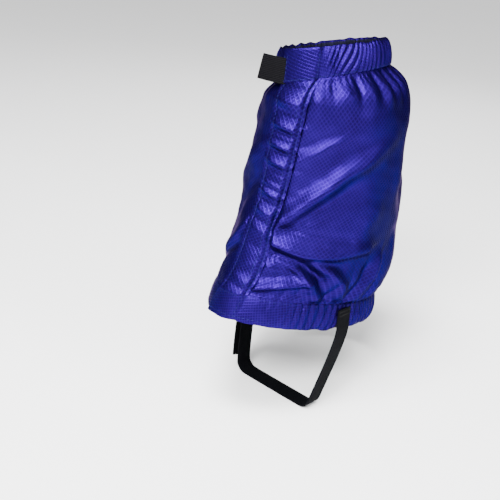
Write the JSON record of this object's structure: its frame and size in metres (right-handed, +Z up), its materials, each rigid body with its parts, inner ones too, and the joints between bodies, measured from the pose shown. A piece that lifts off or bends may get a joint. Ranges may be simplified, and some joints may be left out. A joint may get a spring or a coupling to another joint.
{
  "type": "hiking gaiter",
  "caption": "Short fabric ankle gaiter with a wrap-over front closure, elastic hems, a pull tab at the rim, a lace hook and an adjustable instep strap.",
  "frame": {"origin": "middle of the instep strap's upper face, where the boot's arch rests on it", "axes": "+Z up the leg, -Y towards the toe, +X towards the wearer's left, the inner side of a right foot"},
  "size_m": [0.1163, 0.1911, 0.2936],
  "materials": {
    "blue_ripstop": "uncoated ripstop nylon face, soft sheen",
    "hem_cloth": "gathered ripstop nylon",
    "flap_cloth": "ripstop nylon facing",
    "binding": "woven seam tape",
    "elastic": "braided elastic",
    "hook_tape": "hook tape",
    "loop_tape": "napped loop tape",
    "webbing": "ribbed webbing",
    "strap_webbing": "coated strap webbing",
    "thread": "bonded thread",
    "lock_plastic": "moulded acetal",
    "hook_metal": "nickel plated"
  },
  "bodies": {
    "sleeve": {"left_panel": "blue_ripstop", "right_rear_panel": "blue_ripstop", "back_seam_tape": "binding", "bottom_hem": "hem_cloth", "bottom_elastic": "elastic", "top_hem": "hem_cloth", "top_elastic": "elastic", "closure_loop_tape": "loop_tape", "tab_loop_patch": "loop_tape", "strap_anchor": "strap_webbing", "strap_bar_tacks": "thread", "lock_tab_anchor": "strap_webbing"},
    "front_wrap": {"right_front_panel": "blue_ripstop", "front_flap": "flap_cloth", "closure_hook_tape": "hook_tape", "bottom_hem_front": "hem_cloth", "bottom_elastic_front": "elastic", "top_hem_front": "hem_cloth", "top_elastic_front": "elastic", "tab_sewn_end": "webbing", "top_flap_end": "flap_cloth", "hook_tab": "webbing"},
    "tab": {"top_tab": "webbing", "tab_hook_patch": "hook_tape"},
    "hook": {"lace_hook": "hook_metal"},
    "strap": {"instep_strap": "strap_webbing", "lock_tab": "strap_webbing"},
    "lock": {"ladder_lock": "lock_plastic", "strap_thread": "strap_webbing", "strap_tail": "strap_webbing"}
  },
  "joints": [
    {"name": "front_opening", "type": "hinge", "parent": "sleeve", "child": "front_wrap", "pos_m": [0.0515, -0.004, 0.17], "axis": [0, 0, 1], "range_deg": [0, 75]},
    {"name": "tab_fold", "type": "hinge", "parent": "front_wrap", "child": "tab", "pos_m": [0.00021, -0.0191, 0.27467], "axis": [0, 0.0997, 0.995], "range_deg": [-15, 65]},
    {"name": "lace_hook_swing", "type": "hinge", "parent": "front_wrap", "child": "hook", "pos_m": [0.014, -0.05089, 0.10429], "axis": [1, 0, 0], "range_deg": [0, 60]},
    {"name": "strap_swing", "type": "hinge", "parent": "sleeve", "child": "strap", "pos_m": [0, 0.015, 0.071], "axis": [1, 0, 0], "range_deg": [-30, 30]},
    {"name": "ladder_lock_tilt", "type": "hinge", "parent": "strap", "child": "lock", "pos_m": [-0.05324, 0.01194, 0.05741], "axis": [0.0384, 0.974, -0.2234], "range_deg": [0, 35]}
  ]
}
